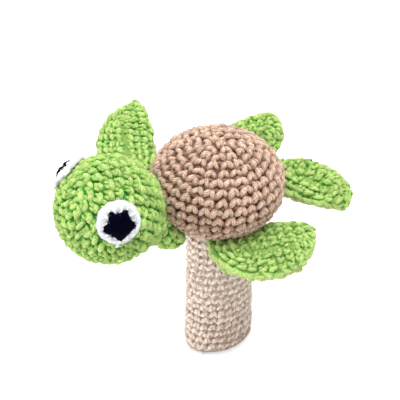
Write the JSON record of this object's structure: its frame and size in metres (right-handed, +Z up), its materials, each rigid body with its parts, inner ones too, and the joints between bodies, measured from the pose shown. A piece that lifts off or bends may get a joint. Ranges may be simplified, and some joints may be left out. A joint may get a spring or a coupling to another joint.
{
  "type": "finger puppet",
  "caption": "Crocheted sea turtle finger puppet: stuffed shell and head, flat flippers, and an open tube below that a finger goes into.",
  "frame": {"origin": "middle of the finger opening, level with the lower rim of the finger tube", "axes": "+Z up the finger tube into the body, -Y the way the turtle looks, +X the turtle's left side"},
  "size_m": [0.1042, 0.1196, 0.1085],
  "materials": {
    "shell_yarn": "matte crocheted yarn",
    "tube_yarn": "matte crocheted yarn",
    "green_yarn": "matte crocheted yarn",
    "white_yarn": "matte crocheted yarn",
    "black_yarn": "matte crocheted yarn",
    "stuffing": "loose fibre filling"
  },
  "bodies": {
    "root": {"shell": "shell_yarn", "belly": "shell_yarn", "shell_stuffing": "stuffing", "finger_tube": "tube_yarn", "head": "green_yarn", "head_stuffing": "stuffing", "eye_ring_left": "white_yarn", "eye_ring_right": "white_yarn", "eye_pupil_left": "black_yarn", "eye_pupil_right": "black_yarn", "flipper_front_left": "green_yarn", "flipper_front_right": "green_yarn", "flipper_rear_left": "green_yarn", "flipper_rear_right": "green_yarn"}
  },
  "joints": []
}
